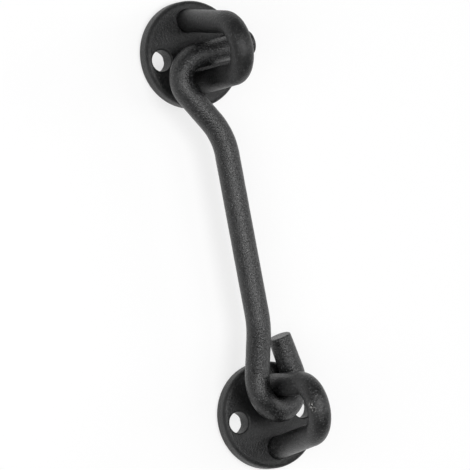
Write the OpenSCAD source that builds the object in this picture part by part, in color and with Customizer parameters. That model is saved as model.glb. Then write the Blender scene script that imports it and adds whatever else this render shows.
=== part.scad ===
// Cabin hook for a barn door: two round plates, each with a loop of round bar,
// and a bent hook that turns on one loop and drops its tail into the other.
// Millimetres. Z = 0 is the wall, X runs from the eye plate to the catch plate.

/* [Bar stock] */
// Diameter of the round bar that the hook is bent from
hook_bar_d = 8; // [6:0.5:9]
// Diameter of the round bar that the two loops are bent from
staple_bar_d = 7.5; // [6:0.5:8]

/* [Plates] */
// Distance between the centres of the two plates
plate_pitch = 120; // [110:5:200]
// Diameter of each plate
plate_d = 35; // [34:1:45]
// Thickness of each plate
plate_t = 5.8; // [4:0.2:8]
// Radius of the front edge of a plate
front_edge_r = 1.5; // [0.5:0.1:1.8]
// Radius of the back edge of a plate
back_edge_r = 1.2; // [0.4:0.1:1.6]
// Distance between the two screw holes of a plate
hole_pitch = 24.3; // [23:0.1:25]
// Diameter of a screw hole
hole_d = 7; // [4:0.1:7.4]
// Width of the chamfer round each hole at the front face
hole_chamfer = 0.4; // [0.2:0.1:0.6]

/* [Loops] */
// Distance from the plate's centre to the leg on the other plate's side, at the front face
near_leg = 9.7; // [9.4:0.1:10.2]
// Lean of that leg towards the middle of the loop, in degrees
near_lean = 1.6; // [0:0.2:4]
// Distance from the plate's centre to the leg on the far side, at the front face
far_leg = 11; // [10:0.1:11.2]
// Lean of that leg towards the middle of the loop, in degrees
far_lean = 7.2; // [0:0.2:8]
// Height of the bar's centre at the top of a loop, above the front face
loop_h = 31.4; // [28:0.1:40]
// Diameter of the peened end of a leg at the back face
peen_d = 9; // [8.5:0.1:9.5]
// Depth of the peened end
peen_h = 1; // [0.6:0.1:1.4]

/* [Hook eye] */
// Tilt of the eye's bend about the line of the shaft, in degrees
eye_tilt = 22; // [15:1:28]
// Lean of the eye's stub towards the shaft, in degrees
stub_lean = 15; // [8:1:18]
// Length of the straight stub that closes the eye
stub_l = 12; // [8:0.1:13]
// Diameter of the stub at its cut end
stub_tip_d = 7.6; // [5:0.1:7.8]
// Turn from the shaft into the eye, in degrees
eye_crank_a = 20; // [18:1:30]
// Bend radius where the shaft turns into the eye
eye_crank_r = 24; // [14:1:28]

/* [Hook shaft and tail] */
// Distance from the pivot to the line of the shaft
shaft_offset = 3.2; // [2.5:0.1:4]
// Angle of the closed hook off the line of the plates, in degrees
rest_yaw = -1.7; // [-2.5:0.1:0]
// Turn from the shaft into the crank at the catch end, in degrees
crank_a = 34; // [28:1:36]
// Bend radius where the shaft turns into that crank
crank_r = 21; // [14:1:26]
// Bend radius of the corner between the crank and the tail
corner_r = 7.5; // [6:0.1:8.5]
// Distance from the line of the pivot to the centre of the corner bend
corner_offset = 7.2; // [6.5:0.1:8]
// Lean of the tail away from the pivot, in degrees
tail_lean = 4; // [0:0.5:6]
// Length of the tail past the line of the pivot
tail_l = 12.8; // [10:0.1:20]
// Chamfer on the two cut ends of the hook
end_chamfer = 0.5; // [0.2:0.1:1]

/* [Running play] */
// Gap between the stub and the front face of the eye plate
play_plate = 0.3; // [0.2:0.05:1]
// Gap between the eye's low side and the leg it turns on
play_low = 0.75; // [0.7:0.05:1]
// Gap between the eye's high side and that leg
play_high = 1.2; // [0.4:0.1:2]
// Gap between the closed end of the eye and that leg
play_end = 0.4; // [0.3:0.1:1]
// Gap between the tail and the catch leg that it pulls on
play_latch = 1.2; // [0.4:0.1:1.8]

/* [Hidden] */
$fn = 48;
black = "#1c1c1e";
black_bar = "#232325";

// Bends are this much thicker than straights, so that a straight ends inside them
swell = 0.04;
bury = 0.3;

// Loop: the arch is an arc that both legs run into without a kink
function near_x(z) = near_leg - (z - plate_t) * tan(near_lean);
function far_x(z) = (z - plate_t) * tan(far_lean) - far_leg;
arch_r = (near_leg + far_leg - loop_h * (tan(near_lean) + tan(far_lean)))
    / ((1 - sin(near_lean)) / cos(near_lean) + (1 - sin(far_lean)) / cos(far_lean));
arch_z = plate_t + loop_h - arch_r;
arch_x = near_x(arch_z) - arch_r / cos(near_lean);
near_l = (arch_z + arch_r * sin(near_lean)) / cos(near_lean);
far_l = (arch_z + arch_r * sin(far_lean)) / cos(far_lean);

// Distance between the two bars' centre lines where they touch
bars_r = (hook_bar_d + staple_bar_d) / 2;

// Eye: the two sides of the bend pass the leg at their own play
eye_r = (2 * bars_r + play_low + play_high) / (2 * cos(eye_tilt));
eye_z = plate_t + play_plate + hook_bar_d / 2 + eye_r * sin(eye_tilt);
eye_x = eye_r - bars_r - play_end;
eye_y = (play_high - play_low) / 2;
pivot_x = near_x(eye_z);

// The eye's own plane holds the line of the shaft and tilts about it
shaft_z = eye_z + (shaft_offset - eye_y) * tan(eye_tilt);
eye_v = (eye_y - shaft_offset) / cos(eye_tilt);
eye_crank_l = (eye_v + eye_r * cos(eye_crank_a) - eye_crank_r * (1 - cos(eye_crank_a)))
    / sin(eye_crank_a);
shaft_start = eye_x + (eye_r + eye_crank_r) * sin(eye_crank_a)
    + eye_crank_l * cos(eye_crank_a);

// Tail: it passes the nearer catch leg at the latch play, where it crosses the pivot's line
catch_leg_u = (plate_pitch - near_x(shaft_z) - pivot_x) * cos(rest_yaw);
tail_u = catch_leg_u + bars_r + play_latch;
crank_l = (corner_offset + corner_r * cos(crank_a) - shaft_offset
    - crank_r * (1 - cos(crank_a))) / sin(crank_a);
corner_l = (corner_offset + corner_r * sin(tail_lean)) / cos(tail_lean);
corner_u = tail_u - corner_l * sin(tail_lean) - corner_r * cos(tail_lean);
shaft_end = corner_u - (corner_r + crank_r) * sin(crank_a) - crank_l * cos(crank_a);
shaft_l = shaft_end - shaft_start;

// Straight bar from the origin along +X, its start buried in the bend before it
module bar(l, d, d_end) {
    translate([-bury, 0, 0]) rotate([0, 90, 0]) cylinder(h = l + bury, d1 = d, d2 = d_end);
}

// Straight length buried at both ends; children start where it ends
module run(l, d) {
    bar(l + bury, d, d);
    translate([l, 0, 0]) children();
}

// Bend to the left by angle a, or to the right where a is negative; children start at its end
module turn(r, a, d) {
    side = a < 0 ? -1 : 1;
    mirror([0, a < 0 ? 1 : 0, 0])
        translate([0, r, 0])
            rotate([0, 0, -90])
                rotate_extrude(angle = abs(a)) translate([r, 0]) circle(d = d + swell);
    translate([r * sin(abs(a)), side * r * (1 - cos(a)), 0]) rotate([0, 0, a]) children();
}

// Straight length that ends in a chamfered cut
module cut_end(l, d, d_end) {
    bar(l - end_chamfer, d, d_end);
    translate([l - end_chamfer, 0, 0])
        rotate([0, 90, 0]) cylinder(h = end_chamfer, d1 = d_end, d2 = d_end - 2 * end_chamfer);
}

// Leg that starts at x on the back face and is drawn past it
module leg(x, lean, l) {
    past = 2;
    translate([x, 0, 0])
        rotate([0, -lean, 0])
            translate([0, 0, -past]) cylinder(h = l + past + bury, d = staple_bar_d);
}

// Both legs and the arch of a loop
module loop_bar() {
    leg(near_x(0), near_lean, near_l);
    leg(far_x(0), -far_lean, far_l);
    translate([arch_x, 0, arch_z])
        rotate([90, 0, 0])
            rotate([0, 0, near_lean])
                rotate_extrude(angle = 180 - near_lean - far_lean)
                    translate([arch_r, 0]) circle(d = staple_bar_d + swell);
}

// Leg ends, peened out into countersinks at the back of the plate
module peens() {
    for (x = [near_x(0), far_x(0)])
        translate([x, 0, 0]) cylinder(h = peen_h, d1 = peen_d, d2 = peen_d - 2 * peen_h);
}

module staple() {
    color(black_bar) union() {
        intersection() {
            loop_bar();
            translate([-plate_d, -plate_d, 0]) cube([2 * plate_d, 2 * plate_d, 2 * loop_h]);
        }
        peens();
    }
}

// Half section of a plate with round edges
module plate_section() {
    rim = plate_d / 2;
    square([rim - front_edge_r, plate_t]);
    square([rim - back_edge_r, plate_t - front_edge_r]);
    translate([0, back_edge_r]) square([rim, plate_t - front_edge_r - back_edge_r]);
    translate([rim - front_edge_r, plate_t - front_edge_r]) circle(r = front_edge_r);
    translate([rim - back_edge_r, back_edge_r]) circle(r = back_edge_r);
}

module screw_hole() {
    past = 1;
    translate([0, 0, -past]) cylinder(h = plate_t + 2 * past, d = hole_d);
    translate([0, 0, plate_t - hole_chamfer])
        cylinder(h = hole_chamfer + past, d1 = hole_d, d2 = hole_d + 2 * (hole_chamfer + past));
}

module plate() {
    color(black) difference() {
        rotate_extrude() plate_section();
        for (side = [-1, 1]) translate([0, side * hole_pitch / 2, 0]) screw_hole();
        peens();
        loop_bar();
    }
}

module hook() {
    d = hook_bar_d;
    color(black_bar)
        translate([pivot_x, 0, 0])
            rotate([0, 0, rest_yaw])
                translate([shaft_start, shaft_offset, shaft_z]) {
                    run(shaft_l, d)
                        turn(crank_r, crank_a, d)
                            run(crank_l, d)
                                turn(corner_r, tail_lean - 90 - crank_a, d)
                                    cut_end(corner_l + tail_l, d, d);
                    rotate([eye_tilt, 0, 0])
                        rotate([0, 0, 180])
                            turn(eye_crank_r, -eye_crank_a, d)
                                run(eye_crank_l, d)
                                    turn(eye_r, 180 + eye_crank_a + stub_lean, d)
                                        cut_end(stub_l, d, stub_tip_d);
                }
}

module eye_plate() { plate(); }

module eye_staple() { staple(); }

// The catch side is the same pair, turned to face the eye side
module catch_plate() { translate([plate_pitch, 0, 0]) rotate([0, 0, 180]) plate(); }

module catch_staple() { translate([plate_pitch, 0, 0]) rotate([0, 0, 180]) staple(); }

eye_plate();
eye_staple();
hook();
catch_plate();
catch_staple();
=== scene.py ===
import math

import bmesh
import bpy
from mathutils import Matrix, Vector


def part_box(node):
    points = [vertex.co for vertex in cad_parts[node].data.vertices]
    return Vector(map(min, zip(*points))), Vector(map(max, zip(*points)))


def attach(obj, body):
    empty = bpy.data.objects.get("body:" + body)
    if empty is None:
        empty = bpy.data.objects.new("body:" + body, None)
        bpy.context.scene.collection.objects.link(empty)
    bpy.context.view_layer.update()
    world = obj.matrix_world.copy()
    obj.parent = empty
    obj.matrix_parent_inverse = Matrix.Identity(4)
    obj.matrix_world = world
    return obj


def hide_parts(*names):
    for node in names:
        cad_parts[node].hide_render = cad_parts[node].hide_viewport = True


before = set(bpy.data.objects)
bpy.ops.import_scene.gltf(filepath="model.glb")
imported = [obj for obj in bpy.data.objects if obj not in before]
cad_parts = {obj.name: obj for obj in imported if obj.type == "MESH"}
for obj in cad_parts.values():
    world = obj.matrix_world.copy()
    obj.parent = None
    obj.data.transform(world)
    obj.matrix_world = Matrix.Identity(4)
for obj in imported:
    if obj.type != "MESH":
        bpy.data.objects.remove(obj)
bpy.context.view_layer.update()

print("frame loaded:", len(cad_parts), "nodes")

mm = 0.001
scene = bpy.context.scene
scene.view_settings.view_transform = "Standard"


# camera

camera = {
    "aim": (59.7, 0.2, 7.4),        # mm, what the middle of the picture looks at
    "back": (0.025, 0.485, 0.874),        # from the latch towards the lens
    "up": (0.98, -0.195, 0.08),        # the catch end is up in the picture
    "lens": 500.0,        # long, so that both plates are seen from the same side
    "sensor": 36.0,
    "across": 152.7,        # mm that the picture's width shows
    "clip": (0.01, 20.0),        # metres
}


def addCamera(values):
    back = Vector(values["back"]).normalized()
    up = Vector(values["up"])
    up = (up - back * up.dot(back)).normalized()
    right = up.cross(back)
    data = bpy.data.cameras.new("camera")
    data.lens = values["lens"]
    data.sensor_width = values["sensor"]
    distance = values["across"] * values["lens"] / values["sensor"]
    data.clip_start, data.clip_end = values["clip"]
    cam = bpy.data.objects.new("camera", data)
    place = (Vector(values["aim"]) + back * distance) * mm
    cam.matrix_world = Matrix.Translation(place) @ Matrix((right, up, back)).transposed().to_4x4()
    scene.collection.objects.link(cam)
    scene.camera = cam


addCamera(camera)
print("camera placed")


# small helpers for work in edit mode

def deselectAll():
    if bpy.context.mode != "OBJECT":
        bpy.ops.object.mode_set(mode="OBJECT")
    bpy.ops.object.select_all(action="DESELECT")


def makeActive(obj):
    deselectAll()
    obj.select_set(True)
    bpy.context.view_layer.objects.active = obj


def selectWhere(obj, kind, test):
    # kind is VERT, EDGE or FACE, and test takes the element
    bpy.ops.mesh.select_mode(type=kind)
    bpy.ops.mesh.select_all(action="DESELECT")
    mesh = bmesh.from_edit_mesh(obj.data)
    for element in {"VERT": mesh.verts, "EDGE": mesh.edges, "FACE": mesh.faces}[kind]:
        element.select_set(test(element))
    mesh.select_flush_mode()
    bmesh.update_edit_mesh(obj.data)


def cleanSkin(obj, gap):
    # merges doubles first, then turns every face outwards
    makeActive(obj)
    bpy.ops.object.mode_set(mode="EDIT")
    bpy.ops.mesh.select_all(action="SELECT")
    bpy.ops.mesh.remove_doubles(threshold=gap)
    bpy.ops.mesh.normals_make_consistent(inside=False)
    bpy.ops.object.mode_set(mode="OBJECT")


def addModifier(obj, kind, **settings):
    makeActive(obj)
    modifier = obj.modifiers.new(kind.lower(), kind)
    for key, value in settings.items():
        setattr(modifier, key, value)
    bpy.ops.object.modifier_apply(modifier=modifier.name)


def turnedCopy(obj, name, x):
    # a copy with its own mesh, turned about to face the other plate, its place kept in the mesh
    other = obj.copy()
    other.data = obj.data.copy()
    other.name = name
    other.data.name = name
    scene.collection.objects.link(other)
    other.data.transform(Matrix.Translation((x, 0, 0)) @ Matrix.Rotation(math.pi, 4, "Z"))
    return other


# the round bar, bent as in a jig

jig = {
    "cutRings": 4,        # on the rounded edge of a cut end
    "endRings": 6,        # across each flat end, a step apart
    "merge": 0.05,        # share of a step within which doubles merge
    "alike": 0.01,        # long edges that differ by less are cut together
}


def moved(place, moves):
    # the place that a list of straights and bends leads to; a bend to the left is positive
    for length, radius, degrees in moves:
        place = place @ Matrix.Translation((length, 0, 0))
        side = 1 if degrees > 0 else -1
        angle = math.radians(abs(degrees))
        ahead = Vector((radius * math.sin(angle), side * radius * (1 - math.cos(angle)), 0))
        place = place @ Matrix.Translation(ahead) @ Matrix.Rotation(side * angle, 4, "Z")
    return place


class Bar:
    # a round section pushed forward and bent; place has x along the bar and z across the bend

    def __init__(self, name, radius, place, sides, step):
        self.place = place
        self.step = step
        self.longEdges = []
        deselectAll()
        bpy.ops.mesh.primitive_circle_add(vertices=sides, radius=radius, fill_type="NGON")
        self.obj = bpy.context.object
        self.obj.name = name
        self.obj.data.name = name
        self.obj.data.transform(place @ Matrix.Rotation(math.radians(90), 4, "Y"))
        makeActive(self.obj)
        bpy.ops.object.mode_set(mode="EDIT")
        bpy.ops.mesh.select_mode(type="FACE")
        bpy.ops.mesh.select_all(action="SELECT")

    def push(self, length, scale=1.0):
        ahead = self.place.to_3x3() @ Vector((length, 0, 0))
        bpy.ops.mesh.extrude_region_move(TRANSFORM_OT_translate={"value": ahead})
        self.place = moved(self.place, [(length, 0, 0)])
        if scale != 1.0:
            middle = self.place.translation
            bpy.ops.transform.resize(value=(scale, scale, scale), center_override=middle)

    def straight(self, length, scale=1.0):
        self.push(length, scale)
        self.longEdges.append(length)        # cut into rings at the end, all in one go

    def bend(self, radius, degrees):
        side = 1 if degrees > 0 else -1
        angle = math.radians(abs(degrees))
        bpy.ops.mesh.spin(
            steps=max(2, round(radius * angle / self.step)), angle=angle,
            center=self.place @ Vector((0, side * radius, 0)),
            axis=self.place.to_3x3() @ Vector((0, 0, -side)),        # a spin turns clockwise
            use_auto_merge=False,
        )
        self.place = moved(self.place, [(0, radius, degrees)])

    def roundEnd(self, radius, edge, opening):
        # the rounded edge of a cut end, widening where the bar opens and narrowing where it closes
        rings = jig["cutRings"]
        turns = [math.radians(90) * ring / rings for ring in range(rings + 1)]
        if opening:
            ahead = [edge * (1 - math.cos(turn)) for turn in turns]
            wide = [radius - edge + edge * math.sin(turn) for turn in turns]
        else:
            ahead = [edge * math.sin(turn) for turn in turns]
            wide = [radius - edge + edge * math.cos(turn) for turn in turns]
        for ring in range(rings):
            self.push(ahead[ring + 1] - ahead[ring], wide[ring + 1] / wide[ring])

    def finish(self):
        for length in sorted(set(self.longEdges)):
            selectWhere(
                self.obj, "EDGE", lambda edge: abs(edge.calc_length() / length - 1) < jig["alike"],
            )
            bpy.ops.mesh.subdivide_edgering(
                number_cuts=round(length / self.step), interpolation="LINEAR", smoothness=0,
            )
        # rings on the flat ends too, so that the relief reaches across them
        selectWhere(self.obj, "FACE", lambda face: len(face.verts) > 4)
        for ring in range(jig["endRings"]):
            bpy.ops.mesh.inset(thickness=self.step, use_individual=True)
        bpy.ops.object.mode_set(mode="OBJECT")
        cleanSkin(self.obj, self.step * jig["merge"])
        return self.obj


# the uneven skin of hand worked bar and thick powder coat, as real relief

relief = {
    "dentSize": 2.6, "dentDepth": 0.07,        # mm
    "grainSize": 0.75, "grainDepth": 0.035,
    "plateDents": 0.6,        # share of the dents' depth that the plates get
}


def addRelief(obj, dents=1.0):
    for key, share in (("dent", dents), ("grain", 1.0)):
        texture = bpy.data.textures.new(key, type="CLOUDS")
        texture.noise_scale = relief[key + "Size"] * mm
        texture.noise_depth = 1
        addModifier(
            obj, "DISPLACE", texture=texture, texture_coords="LOCAL", mid_level=0.5,
            strength=relief[key + "Depth"] * share * mm,
        )


# plates

eyeLow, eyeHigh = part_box("eye_plate")
catchLow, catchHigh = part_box("catch_plate")

plate = {
    "rim": (eyeHigh.x - eyeLow.x) / 2,        # radius
    "thick": eyeHigh.z,
    "pitch": (catchLow.x + catchHigh.x - eyeLow.x - eyeHigh.x) / 2,        # from plate to plate
    "frontEdge": 1.5 * mm,
    "backEdge": 1.2 * mm,
    "holeRadius": 3.5 * mm,
    "holeSpread": 12.15 * mm,        # from the middle to a hole
    "holeEdge": 0.4 * mm,
    "sides": 160,
    "edgeRings": 10,
    "voxel": 0.24 * mm,
    "smoothing": 3,        # passes that take the voxels' steps away
}

cutter = {
    "sides": 96,
    "past": 1.0 * mm,        # how far a cut runs past the plate
    "sunk": 0.1 * mm,        # how far a fillet starts inside the plate
}

loop = {
    "radius": 3.75 * mm,
    "near": 9.7 * mm,        # from the middle to the leg on the other plate's side, at the plate's front
    "nearLean": 1.6,        # degrees
    "far": 11.0 * mm,        # to the leg on the far side
    "farLean": 7.2,
    "high": 31.4 * mm,        # middle of the bar at the top, above the plate's front
    "peenRadius": 4.5 * mm,
    "peenHigh": 0.75 * mm,
    "footBend": 5.0 * mm,
    "sides": 80,
    "step": 0.4 * mm,
    "fillet": 0.3 * mm,        # coat that gathered round each leg
    "slack": 0.04 * mm,
}

nearLean = math.radians(loop["nearLean"])
farLean = math.radians(loop["farLean"])
narrowing = loop["high"] * (math.tan(nearLean) + math.tan(farLean))
wedge = sum((1 - math.sin(lean)) / math.cos(lean) for lean in (nearLean, farLean))
arch = (loop["near"] + loop["far"] - narrowing) / wedge
archHigh = plate["thick"] + loop["high"] - arch


def nearX(z):
    return loop["near"] - (z - plate["thick"]) * math.tan(nearLean)


def farX(z):
    return (z - plate["thick"]) * math.tan(farLean) - loop["far"]


def combine(obj, operation, tool):
    # joins or cuts with a tool, which is then gone
    addModifier(obj, "BOOLEAN", object=tool, operation=operation, solver="EXACT")
    bpy.data.objects.remove(tool)


def screwHoleTool(y):
    # straight up to the countersunk edge, then wider, past both faces of the plate
    deselectAll()
    past = cutter["past"]
    tall = plate["thick"] - plate["holeEdge"] + past
    bpy.ops.mesh.primitive_cylinder_add(
        vertices=cutter["sides"], radius=plate["holeRadius"], depth=tall, location=(0, 0, tall / 2 - past),
    )
    tool = bpy.context.object
    bpy.ops.object.transform_apply(location=True, rotation=False, scale=False)
    bpy.ops.object.mode_set(mode="EDIT")
    selectWhere(tool, "FACE", lambda face: face.normal.z > 0.9)
    flare = plate["holeEdge"] + past
    wider = 1 + flare / plate["holeRadius"]
    bpy.ops.mesh.extrude_region_move(TRANSFORM_OT_translate={"value": (0, 0, flare)})
    bpy.ops.transform.resize(value=(wider, wider, 1), center_override=(0, 0, tall - past + flare))
    bpy.ops.object.mode_set(mode="OBJECT")
    tool.data.transform(Matrix.Translation((0, y, 0)))
    return tool


def legTool(x, lean, radius):
    # leans as the leg does, about the point where the leg meets the plate's front
    deselectAll()
    tall = plate["thick"] * 3
    bpy.ops.mesh.primitive_cylinder_add(vertices=cutter["sides"], radius=radius, depth=tall)
    tool = bpy.context.object
    turn = Matrix.Rotation(-lean, 4, "Y")
    tool.data.transform(Matrix.Translation((x, 0, plate["thick"])) @ turn)
    return tool


def coneTool(x, z, lowRadius, highRadius, tall):
    deselectAll()
    bpy.ops.mesh.primitive_cone_add(
        vertices=cutter["sides"], radius1=lowRadius, radius2=highRadius, depth=tall,
        location=(0, 0, z + tall / 2),
    )
    tool = bpy.context.object
    bpy.ops.object.transform_apply(location=True, rotation=False, scale=False)
    tool.data.transform(Matrix.Translation((x, 0, 0)))
    return tool


def makePlate(name):
    deselectAll()
    bpy.ops.mesh.primitive_cylinder_add(
        vertices=plate["sides"], radius=plate["rim"], depth=plate["thick"],
        location=(0, 0, plate["thick"] / 2),
    )
    obj = bpy.context.object
    obj.name = name
    obj.data.name = name
    bpy.ops.object.transform_apply(location=True, rotation=False, scale=False)
    bpy.ops.object.mode_set(mode="EDIT")
    for z, offset in ((plate["thick"], plate["frontEdge"]), (0, plate["backEdge"])):
        selectWhere(obj, "EDGE", lambda edge: all(abs(v.co.z - z) < offset / 100 for v in edge.verts))
        bpy.ops.mesh.bevel(offset=offset, segments=plate["edgeRings"], affect="EDGES")
    bpy.ops.object.mode_set(mode="OBJECT")

    # a fillet of coat round each leg, the leg's hole through it and the seat of its peened end at the back
    hole = loop["radius"] + loop["slack"]
    past = cutter["past"]
    sunk = cutter["sunk"]
    foot = plate["thick"] - sunk
    wide = loop["radius"] + loop["fillet"]
    seat = loop["peenRadius"] + loop["slack"] + past
    for legX, lean in ((nearX, nearLean), (farX, -farLean)):
        fillet = coneTool(legX(foot), foot, wide, loop["radius"] - sunk, loop["fillet"] + sunk)
        combine(obj, "UNION", fillet)
        combine(obj, "DIFFERENCE", legTool(legX(plate["thick"]), lean, hole))
        combine(obj, "DIFFERENCE", coneTool(legX(0), -past, seat, hole, loop["peenHigh"] + past))
    for side in (-1, 1):
        combine(obj, "DIFFERENCE", screwHoleTool(side * plate["holeSpread"]))
    addModifier(obj, "REMESH", mode="VOXEL", voxel_size=plate["voxel"], use_smooth_shade=True)
    addModifier(obj, "SMOOTH", factor=0.5, iterations=plate["smoothing"])
    return obj


eyePlate = makePlate("eye_plate_coated")
catchPlate = turnedCopy(eyePlate, "catch_plate_coated", plate["pitch"])
for obj in (eyePlate, catchPlate):
    addRelief(obj, dents=relief["plateDents"])
print("plates made:", len(eyePlate.data.polygons), "faces each")


# loops

def makeLoop(name):
    # up one leg, round the arch and down the other, with a peened foot at each end
    bendFoot = loop["footBend"]
    nearFoot, farFoot = (loop["peenHigh"] + bendFoot * math.sin(lean) for lean in (nearLean, farLean))
    nearLeg = (archHigh + arch * math.sin(nearLean) - nearFoot) / math.cos(nearLean)
    farLeg = (archHigh + arch * math.sin(farLean) - farFoot) / math.cos(farLean)
    footX = nearX(nearFoot) + bendFoot * (1 - math.cos(nearLean))
    place = Matrix(((0, -1, 0, footX), (0, 0, -1, 0), (1, 0, 0, 0), (0, 0, 0, 1)))
    bar = Bar(name, loop["peenRadius"], place, loop["sides"], loop["step"])
    bar.push(loop["peenHigh"], loop["radius"] / loop["peenRadius"])
    bar.bend(bendFoot, loop["nearLean"])
    bar.straight(nearLeg)
    bar.bend(arch, 180 - loop["nearLean"] - loop["farLean"])
    bar.straight(farLeg)
    bar.bend(bendFoot, loop["farLean"])
    bar.push(loop["peenHigh"], loop["peenRadius"] / loop["radius"])
    return bar.finish()


eyeLoop = makeLoop("eye_loop_bar")
catchLoop = turnedCopy(eyeLoop, "catch_loop_bar", plate["pitch"])
for obj in (eyeLoop, catchLoop):
    addRelief(obj)
print("loops bent:", len(eyeLoop.data.polygons), "faces each")


# hook

hook = {
    "radius": 4.0 * mm,
    "tilt": 22.0,        # of the eye about the line of the shaft, degrees
    "stub": 12.0 * mm,
    "stubRadius": 3.8 * mm,        # at its cut end
    "stubLean": 15.0,
    "eyeCrank": 20.0,
    "eyeCrankRadius": 24.0 * mm,
    "offset": 3.2 * mm,        # from the pivot to the line of the shaft
    "yaw": -1.7,
    "crank": 34.0,
    "crankRadius": 21.0 * mm,
    "corner": 7.5 * mm,
    "cornerOffset": 7.2 * mm,
    "tail": 12.8 * mm,        # past the line of the pivot
    "tailLean": 4.0,
    "cutEdge": 0.5 * mm,
    "playPlate": 0.3 * mm,
    "playLow": 0.75 * mm,
    "playHigh": 1.2 * mm,
    "playEnd": 0.4 * mm,
    "playLatch": 1.2 * mm,
    "sides": 84,
    "step": 0.4 * mm,
}


def makeHook(name):
    # the eye goes round the near leg with its plays, in a plane tilted about the line of the shaft
    tilt = math.radians(hook["tilt"])
    eyeCrank = math.radians(hook["eyeCrank"])
    crank = math.radians(hook["crank"])
    bars = hook["radius"] + loop["radius"]
    eye = (2 * bars + hook["playLow"] + hook["playHigh"]) / (2 * math.cos(tilt))
    eyeZ = plate["thick"] + hook["playPlate"] + hook["radius"] + eye * math.sin(tilt)
    eyeX = eye - bars - hook["playEnd"]
    eyeY = (hook["playHigh"] - hook["playLow"]) / 2

    # from the eye up to the line of the shaft, over the eye's own crank
    shaftZ = eyeZ + (hook["offset"] - eyeY) * math.tan(tilt)
    rise = (eyeY - hook["offset"]) / math.cos(tilt) + eye * math.cos(eyeCrank)
    eyeCrankLength = (rise - hook["eyeCrankRadius"] * (1 - math.cos(eyeCrank))) / math.sin(eyeCrank)
    reach = (eye + hook["eyeCrankRadius"]) * math.sin(eyeCrank)
    shaftStart = eyeX + reach + eyeCrankLength * math.cos(eyeCrank)

    # along to the catch's near leg, and back from there to where the shaft ends
    catchLeg = (plate["pitch"] - nearX(shaftZ) - nearX(eyeZ)) * math.cos(math.radians(hook["yaw"]))
    tailX = catchLeg + bars + hook["playLatch"]
    drop = hook["cornerOffset"] + hook["corner"] * math.cos(crank) - hook["offset"]
    crankLength = (drop - hook["crankRadius"] * (1 - math.cos(crank))) / math.sin(crank)
    tailLean = math.radians(hook["tailLean"])
    cornerLength = (hook["cornerOffset"] + hook["corner"] * math.sin(tailLean)) / math.cos(tailLean)
    cornerX = tailX - cornerLength * math.sin(tailLean) - hook["corner"] * math.cos(tailLean)
    back = (hook["corner"] + hook["crankRadius"]) * math.sin(crank)
    shaftEnd = cornerX - back - crankLength * math.cos(crank)

    # the eye is followed backwards from the shaft, to find where its cut end lies
    base = Matrix.Translation((nearX(eyeZ), 0, 0)) @ Matrix.Rotation(math.radians(hook["yaw"]), 4, "Z")
    base = base @ Matrix.Translation((shaftStart, hook["offset"], shaftZ))
    turnBack = Matrix.Rotation(math.pi, 4, "Z")
    tilted = base @ Matrix.Rotation(tilt, 4, "X") @ turnBack
    wrap = 180 + hook["eyeCrank"] + hook["stubLean"]
    eyeMoves = [
        (0, hook["eyeCrankRadius"], -hook["eyeCrank"]),
        (eyeCrankLength, eye, wrap),
        (hook["stub"], 0, 0),
    ]
    cutEnd = moved(tilted, eyeMoves) @ turnBack

    bar = Bar(name, hook["stubRadius"] - hook["cutEdge"], cutEnd, hook["sides"], hook["step"])
    bar.roundEnd(hook["stubRadius"], hook["cutEdge"], opening=True)
    bar.straight(hook["stub"] - hook["cutEdge"], hook["radius"] / hook["stubRadius"])
    bar.bend(eye, -wrap)
    bar.straight(eyeCrankLength)
    bar.bend(hook["eyeCrankRadius"], hook["eyeCrank"])
    bar.place = bar.place @ Matrix.Rotation(-tilt, 4, "X")        # out of the eye's own plane
    bar.straight(shaftEnd - shaftStart)
    bar.bend(hook["crankRadius"], hook["crank"])
    bar.straight(crankLength)
    bar.bend(hook["corner"], hook["tailLean"] - 90 - hook["crank"])
    bar.straight(cornerLength + hook["tail"] - hook["cutEdge"])
    bar.roundEnd(hook["radius"], hook["cutEdge"], opening=False)
    return bar.finish()


hookBar = makeHook("hook_bar")
addRelief(hookBar)
print("hook bent:", len(hookBar.data.polygons), "faces")


# shader maths as plain expressions

class Wire:
    # a socket that adds, subtracts and multiplies by adding its Math node

    def __init__(self, bench, socket):
        self.bench = bench
        self.socket = socket

    def math(self, operation, first, second):
        return self.bench.node("ShaderNodeMath", {"operation": operation}, {0: first, 1: second})

    def __add__(self, other):
        return self.math("ADD", self, other)

    def __sub__(self, other):
        return self.math("SUBTRACT", self, other)

    def __rsub__(self, other):
        return self.math("SUBTRACT", other, self)

    def __mul__(self, other):
        return self.math("MULTIPLY", self, other)

    __radd__ = __add__
    __rmul__ = __mul__


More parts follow.
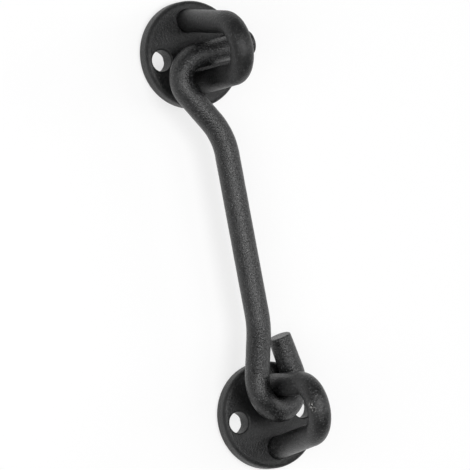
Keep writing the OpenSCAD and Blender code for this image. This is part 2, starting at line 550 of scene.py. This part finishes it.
class Bench:
    # the nodes of one material, or of the world

    def __init__(self, owner):
        self.owner = owner
        self.owner.use_nodes = True
        self.tree = self.owner.node_tree
        self.tree.nodes.clear()

    def node(self, kind, settings, values, output=0):
        # settings are set first; values holds a number, a colour or a link for each socket's name or number
        made = self.tree.nodes.new(kind)
        for key, value in settings.items():
            setattr(made, key, value)
        for key, value in values.items():
            if isinstance(value, Wire):
                self.tree.links.new(value.socket, made.inputs[key])
            else:
                made.inputs[key].default_value = value
        return Wire(self, made.outputs[output]) if made.outputs else None

    def objectPlace(self):
        return self.node("ShaderNodeTexCoord", {}, {}, "Object")

    def noise(self, place, size, detail=2.0, roughness=0.5):
        # size is in metres, from bump to bump
        values = {"Vector": place, "Scale": 1 / size, "Detail": detail, "Roughness": roughness}
        return self.node("ShaderNodeTexNoise", {}, values, "Fac")

    def between(self, value, low, high):
        # 0 below low, 1 above high, soft between
        settings = {"interpolation_type": "SMOOTHSTEP", "clamp": True}
        values = {"Value": value, "From Min": low, "From Max": high}
        return self.node("ShaderNodeMapRange", settings, values, "Result")

    def blend(self, share, first, second):
        # two colours, by share of the second; 0, 6, 7 and 2 are the factor and the colours of a Mix node
        return self.node("ShaderNodeMix", {"data_type": "RGBA"}, {0: share, 6: first, 7: second}, 2)

    def distance(self, place, point):
        values = {0: place, 1: point}
        return self.node("ShaderNodeVectorMath", {"operation": "DISTANCE"}, values, "Value")

    def output(self, shader):
        self.node("ShaderNodeOutputMaterial", {}, {"Surface": shader})


def grey(value, warm=0.0):
    return (value * (1 + warm), value, value * (1 - warm), 1.0)


# powder coat

coat = {
    "dark": grey(0.006, -0.03),
    "light": grey(0.014, -0.03),
    # painted glints: pale dots laid into the coat's colour, standing in for the glints of its grain
    "paintedGlint": grey(0.10, -0.02),
    "glintSpot": grey(0.34, 0.03),        # painted glint: pale, warm spots on the eye loop's arch top
    "patch": 9.0 * mm,        # size of the drifts in its tone
    "drift": (0.3, 0.7),        # of the noise, where the tone goes from dark to light
    "driftGrain": 0.5,        # how much the grain frays the drifts
    "paintedGlintRange": (0.585, 0.65),        # of the noise, where a painted glint begins and is full
    "glintSpotRange": (0.47, 0.58),        # of the grain, where a painted glint spot begins and is full
    "glintSpotCore": 0.25,        # share of a painted glint spot's reach in which it is at its fullest
    "glintSpotPolish": 0.14,        # how much less rough a painted glint spot is
    "roughGrain": 0.35,
    "roughPatch": 0.12,
    "fineHeight": 0.4,        # share of the fine grain in the bumps
    "smoothUnder": 50,        # degrees, the sharpest edge that is shaded smooth
}

hookFinish = {        # finer and brighter than the loops
    "grain": 0.65 * mm,
    "fine": 0.33 * mm,
    "bump": 0.33 * mm,
    "rough": 0.32,
    "specular": 0.57,
    "paintedGlints": 0.9,
}

eyeLoopFinish = {        # nearly as bright as the hook
    "grain": 0.65 * mm,
    "fine": 0.33 * mm,
    "bump": 0.33 * mm,
    "rough": 0.34,
    "specular": 0.5,
    "paintedGlints": 0.9,
}

catchLoopFinish = {        # duller and smoother
    "grain": 0.75 * mm,
    "fine": 0.35 * mm,
    "bump": 0.32 * mm,
    "rough": 0.4,
    "specular": 0.42,
    "paintedGlints": 0.5,
}

plateFinish = {        # smoother than the bars
    "grain": 0.62 * mm,
    "fine": 0.30 * mm,
    "bump": 0.28 * mm,
    "rough": 0.42,
    "specular": 0.4,
    "paintedGlints": 0.3,
}


def makeCoat(name, finish, glintSpots):
    # the list holds places, with the reach of each painted glint spot, in metres
    bench = Bench(bpy.data.materials.new(name))
    place = bench.objectPlace()
    patch = bench.noise(place, coat["patch"], detail=3.0)
    grain = bench.noise(place, finish["grain"], detail=2.0, roughness=0.6)
    fine = bench.noise(place, finish["fine"], detail=1.0)
    glintSpotShare = 0.0        # each noise lies about 0.5
    for point, reach in glintSpots:
        near = 1 - bench.between(bench.distance(place, point), reach * coat["glintSpotCore"], reach)
        glintSpotShare = near * bench.between(grain, *coat["glintSpotRange"]) + glintSpotShare
    drift = bench.between(patch + (grain - 0.5) * coat["driftGrain"], *coat["drift"])
    tone = bench.blend(drift, coat["dark"], coat["light"])
    # painted glints: pale dots mixed into the colour where the grain and fine noise peak
    paintedGlint = bench.between(fine * 0.5 + grain * 0.5, *coat["paintedGlintRange"])
    tone = bench.blend(paintedGlint * finish["paintedGlints"], tone, coat["paintedGlint"])
    rough = finish["rough"] + (grain - 0.5) * coat["roughGrain"] + (patch - 0.5) * coat["roughPatch"]
    if glintSpots:
        # painted glint spots: pale, less rough patches around each listed place
        tone = bench.blend(glintSpotShare, tone, coat["glintSpot"])
        rough = rough - glintSpotShare * coat["glintSpotPolish"]
    height = grain * (1 - coat["fineHeight"]) + fine * coat["fineHeight"]
    bump = bench.node("ShaderNodeBump", {}, {"Strength": 1.0, "Distance": finish["bump"], "Height": height})
    shader = bench.node(
        "ShaderNodeBsdfPrincipled", {},
        {
            "Base Color": tone, "Roughness": rough, "Normal": bump,
            "Specular IOR Level": finish["specular"],
        },
    )
    bench.output(shader)
    return bench.owner


def dress(obj, material, body, node):
    obj.data.materials.clear()
    obj.data.materials.append(material)
    makeActive(obj)
    bpy.ops.object.shade_smooth_by_angle(angle=math.radians(coat["smoothUnder"]))
    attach(obj, body)
    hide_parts(node)


eyeLoopGlintSpots = [        # painted glint spots on the arch top: place in metres and reach of each
    ((0.0019, 0.0033, 0.0387), 0.0013),
    ((0.0004, 0.0030, 0.0394), 0.0011),
]

plateCoat = makeCoat("plate coat", plateFinish, [])
eyeLoopCoat = makeCoat("eye loop coat", eyeLoopFinish, eyeLoopGlintSpots)
catchLoopCoat = makeCoat("catch loop coat", catchLoopFinish, [])
hookCoat = makeCoat("hook coat", hookFinish, [])

dress(eyePlate, plateCoat, "eye_side", "eye_plate")
dress(catchPlate, plateCoat, "catch_side", "catch_plate")
dress(eyeLoop, eyeLoopCoat, "eye_side", "eye_staple")
dress(catchLoop, catchLoopCoat, "catch_side", "catch_staple")
dress(hookBar, hookCoat, "hook_bar", "hook")
print("coat laid on")


# floor, world and lamps

studio = {
    "floor": 0.95,
    "floorSize": 6.0,        # metres
    "white": 0.7,        # share of plain white in the floor, where it is seen and not lit
    "world": 0.15,
    "lamps": [
        # name, place in metres, size across, watts
        ("key", (0.05, 0.04, 1.05), 0.50, 5.8),
        ("lens side", (0.05, 0.70, 0.78), 0.80, 4.2),
        ("front", (0.05, -0.55, 0.90), 0.50, 1.3),
        ("side", (0.05, -0.95, 0.45), 0.50, 1.8),
    ],
}


def seenDirectly(bench):
    # 1 for the lens, a mirror or a glass, 0 for light that falls on something
    lens, mirror, glass = (
        bench.node("ShaderNodeLightPath", {}, {}, name)
        for name in ("Is Camera Ray", "Is Glossy Ray", "Is Transmission Ray")
    )
    return bench.between(lens + mirror + glass, 0.0, 0.5)


def addFloor():
    deselectAll()
    bpy.ops.mesh.primitive_plane_add(size=studio["floorSize"], location=(0, 0, 0))
    floor = bpy.context.object
    floor.name = "floor"
    bench = Bench(bpy.data.materials.new("floor"))
    pale = bench.node("ShaderNodeBsdfDiffuse", {}, {"Color": grey(studio["floor"])})
    white = bench.node("ShaderNodeEmission", {}, {"Color": grey(1.0), "Strength": 1.0})
    share = seenDirectly(bench) * studio["white"]
    bench.output(bench.node("ShaderNodeMixShader", {}, {0: share, 1: pale, 2: white}))
    floor.data.materials.append(bench.owner)


def setWorld():
    scene.world = bpy.data.worlds.new("studio")
    bench = Bench(scene.world)
    sky = bench.node("ShaderNodeBackground", {}, {"Color": grey(1.0), "Strength": studio["world"]})
    bench.node("ShaderNodeOutputWorld", {}, {"Surface": sky})


def addLamp(name, place, size, watts):
    data = bpy.data.lights.new(name, type="AREA")
    data.shape = "DISK"
    data.size = size
    data.energy = watts
    lamp = bpy.data.objects.new(name, data)
    aim = Vector(camera["aim"]) * mm
    lamp.location = place
    lamp.rotation_euler = (aim - Vector(place)).to_track_quat("-Z", "Y").to_euler()
    scene.collection.objects.link(lamp)


addFloor()
setWorld()
for lamp in studio["lamps"]:
    addLamp(*lamp)
print("studio lit")

deselectAll()
